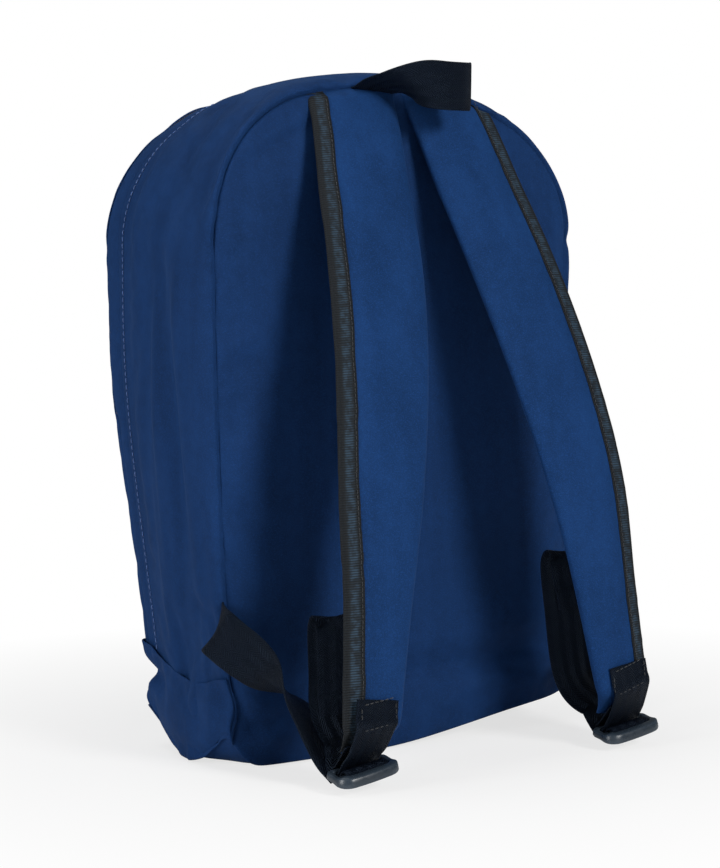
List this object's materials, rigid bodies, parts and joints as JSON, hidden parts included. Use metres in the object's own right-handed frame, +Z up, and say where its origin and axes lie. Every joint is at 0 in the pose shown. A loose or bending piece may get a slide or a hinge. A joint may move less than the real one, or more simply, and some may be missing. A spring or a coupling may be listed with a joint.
{
  "type": "school backpack",
  "caption": "Navy school backpack: padded back, zipped front flap and pocket, haul loop, and padded shoulder straps hung on adjustable ladder locks.",
  "frame": {"origin": "on the floor under the middle of the body", "axes": "+Z up, -Y towards the wearer's back, +Y out of the front panel, +X to the right seen from behind"},
  "size_m": [0.2884, 0.2523, 0.433],
  "materials": {
    "navy_cloth": "matte woven polyester",
    "strap_cloth": "matte woven polyester over foam",
    "lining_cloth": "plain woven lining",
    "foam": "closed-cell foam sheet",
    "binding_tape": "ribbed grosgrain tape",
    "black_webbing": "twill-woven webbing",
    "zip_tape": "fine woven tape",
    "zip_chain": "nylon coil",
    "zip_metal": "black satin enamel",
    "buckle_plastic": "moulded semi-gloss"
  },
  "bodies": {
    "bag": {"back_panel": "navy_cloth", "back_foam": "foam", "back_lining": "lining_cloth", "back_seam_binding": "binding_tape", "main_gusset": "navy_cloth", "front_band": "navy_cloth", "lower_side_panel_left": "navy_cloth", "lower_side_panel_right": "navy_cloth", "base_panel": "navy_cloth", "front_lower_panel": "navy_cloth", "front_seam_binding": "binding_tape", "zip_tape_rear": "zip_tape", "zip_coil_rear": "zip_chain", "zip_end_stops": "zip_metal", "pocket_panel": "navy_cloth", "pocket_top_strip": "navy_cloth", "pocket_gusset": "navy_cloth", "pocket_zip_tape": "zip_tape", "pocket_zip_coil": "zip_chain", "adjuster_webbing_left": "black_webbing", "adjuster_webbing_right": "black_webbing"},
    "flap": {"front_flap": "navy_cloth", "zip_tape_front": "zip_tape", "zip_coil_front": "zip_chain"},
    "slider_left": {"main_slider_left": "zip_metal"},
    "slider_right": {"main_slider_right": "zip_metal"},
    "pull_left": {"main_pull_left": "zip_metal"},
    "pull_right": {"main_pull_right": "zip_metal"},
    "pocket_slider_body": {"pocket_slider": "zip_metal"},
    "pocket_pull_body": {"pocket_pull": "zip_metal"},
    "haul": {"haul_loop": "black_webbing"},
    "strap_left": {"strap_face_left": "strap_cloth", "strap_foam_left": "foam", "strap_lining_left": "lining_cloth", "strap_binding_left": "binding_tape", "strap_end_tab_left": "black_webbing", "webbing_tail_left": "black_webbing"},
    "strap_right": {"strap_face_right": "strap_cloth", "strap_foam_right": "foam", "strap_lining_right": "lining_cloth", "strap_binding_right": "binding_tape", "strap_end_tab_right": "black_webbing", "webbing_tail_right": "black_webbing"},
    "lock_left": {"ladder_lock_left": "buckle_plastic"},
    "lock_right": {"ladder_lock_right": "buckle_plastic"}
  },
  "joints": [
    {"name": "flap_fold", "type": "hinge", "parent": "bag", "child": "flap", "pos_m": [0, 0.065, 0.2146], "axis": [-1, 0, 0], "range_deg": [0, 75]},
    {"name": "main_slider_left_travel", "type": "hinge", "parent": "bag", "child": "slider_left", "pos_m": [0, 0.0605, 0.12], "axis": [0, -1, 0], "range_deg": [0, 11]},
    {"name": "main_slider_right_travel", "type": "hinge", "parent": "bag", "child": "slider_right", "pos_m": [0, 0.0605, 0.12], "axis": [0, 1, 0], "range_deg": [0, 11]},
    {"name": "main_pull_left_swing", "type": "hinge", "parent": "slider_left", "child": "pull_left", "pos_m": [-0.00534, 0.0605, 0.42225], "axis": [0, 1, 0], "range_deg": [0, 100]},
    {"name": "main_pull_right_swing", "type": "hinge", "parent": "slider_right", "child": "pull_right", "pos_m": [0.00534, 0.0605, 0.42225], "axis": [0, -1, 0], "range_deg": [0, 100]},
    {"name": "pocket_slider_travel", "type": "slide", "parent": "bag", "child": "pocket_slider_body", "axis": [1, 0, 0], "range_m": [0, 0.182]},
    {"name": "pocket_pull_swing", "type": "hinge", "parent": "pocket_slider_body", "child": "pocket_pull_body", "pos_m": [-0.091, 0.0793, 0.188], "axis": [0, 0, 1], "range_deg": [0, 100]},
    {"name": "haul_loop_lift", "type": "hinge", "parent": "bag", "child": "haul", "pos_m": [0, -0.0654, 0.4205], "axis": [-1, 0, 0], "range_deg": [0, 90]},
    {"name": "strap_left_swing", "type": "hinge", "parent": "bag", "child": "strap_left", "pos_m": [-0.035, -0.0654, 0.4106], "axis": [-1, 0, 0], "range_deg": [0, 14]},
    {"name": "lock_left_tilt", "type": "hinge", "parent": "strap_left", "child": "lock_left", "pos_m": [-0.102, -0.1515, 0.013], "axis": [-1, 0, 0], "range_deg": [-12, 25]},
    {"name": "strap_right_swing", "type": "hinge", "parent": "bag", "child": "strap_right", "pos_m": [0.035, -0.0654, 0.4106], "axis": [-1, 0, 0], "range_deg": [0, 14]},
    {"name": "lock_right_tilt", "type": "hinge", "parent": "strap_right", "child": "lock_right", "pos_m": [0.102, -0.1515, 0.013], "axis": [-1, 0, 0], "range_deg": [-12, 25]}
  ]
}
